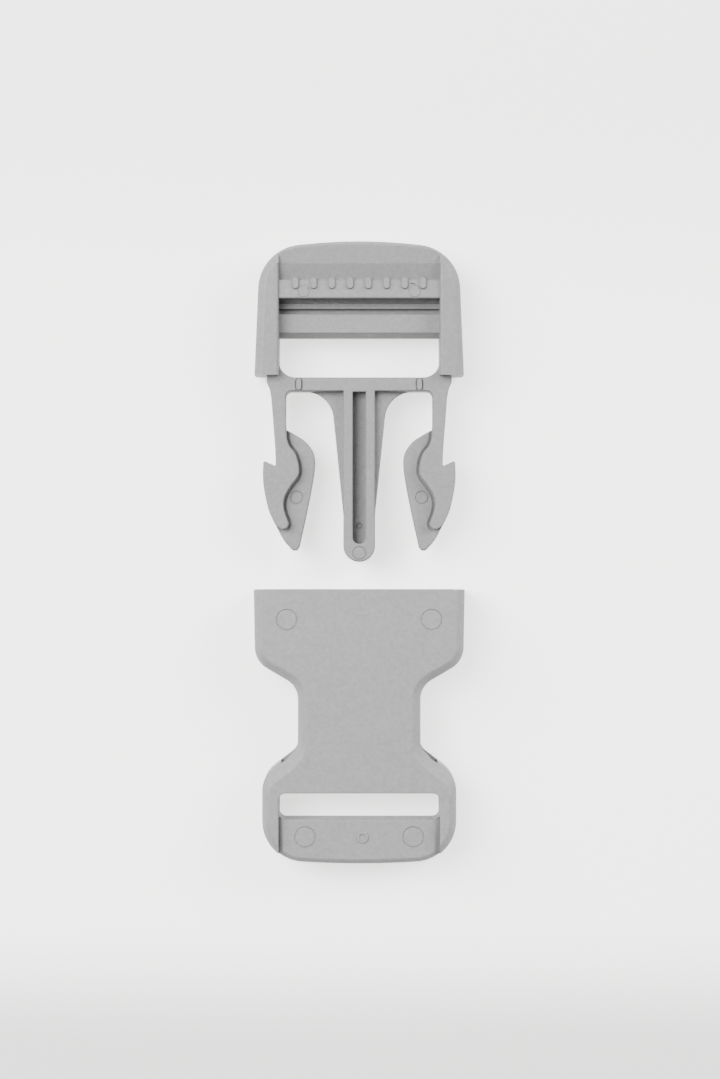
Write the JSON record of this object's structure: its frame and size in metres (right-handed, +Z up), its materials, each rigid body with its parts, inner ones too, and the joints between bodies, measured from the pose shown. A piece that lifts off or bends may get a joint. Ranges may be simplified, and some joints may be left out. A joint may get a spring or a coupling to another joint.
{
  "type": "side-release buckle",
  "caption": "Side-release buckle for 25 mm webbing in matt grey plastic, unfastened: a plug with two sprung arms beside its socket.",
  "frame": {"origin": "on the surface that both halves lie on, at the middle of the buckle's width and length", "axes": "+X across the webbing to the right in the picture, +Y along the webbing from the socket to the plug, +Z up from the surface"},
  "size_m": [0.0352, 0.1039, 0.0096],
  "materials": {
    "plug_plastic": "fine matt grain, as moulded",
    "left_arm_plastic": "fine matt grain, as moulded",
    "right_arm_plastic": "fine matt grain, as moulded",
    "socket_plastic": "fine matt grain, as moulded"
  },
  "bodies": {
    "socket": {"socket": "socket_plastic"},
    "plug": {"plug_frame": "plug_plastic"},
    "left_arm": {"left_arm": "left_arm_plastic"},
    "right_arm": {"right_arm": "right_arm_plastic"}
  },
  "joints": [
    {"name": "plug_slide", "type": "slide", "parent": "socket", "child": "plug", "axis": [0, -1, 0], "range_m": [0, 0.0355], "deforming": ["left_arm", "right_arm"]},
    {"name": "left_arm_flex", "type": "hinge", "parent": "plug", "child": "left_arm", "pos_m": [-0.0136, 0.02585, 0.0048], "axis": [0, 0, 1], "range_deg": [0, 8], "stiffness_Nm_per_rad": 1},
    {"name": "right_arm_flex", "type": "hinge", "parent": "plug", "child": "right_arm", "pos_m": [0.0136, 0.02585, 0.0048], "axis": [0, 0, -1], "range_deg": [0, 8], "stiffness_Nm_per_rad": 1}
  ]
}
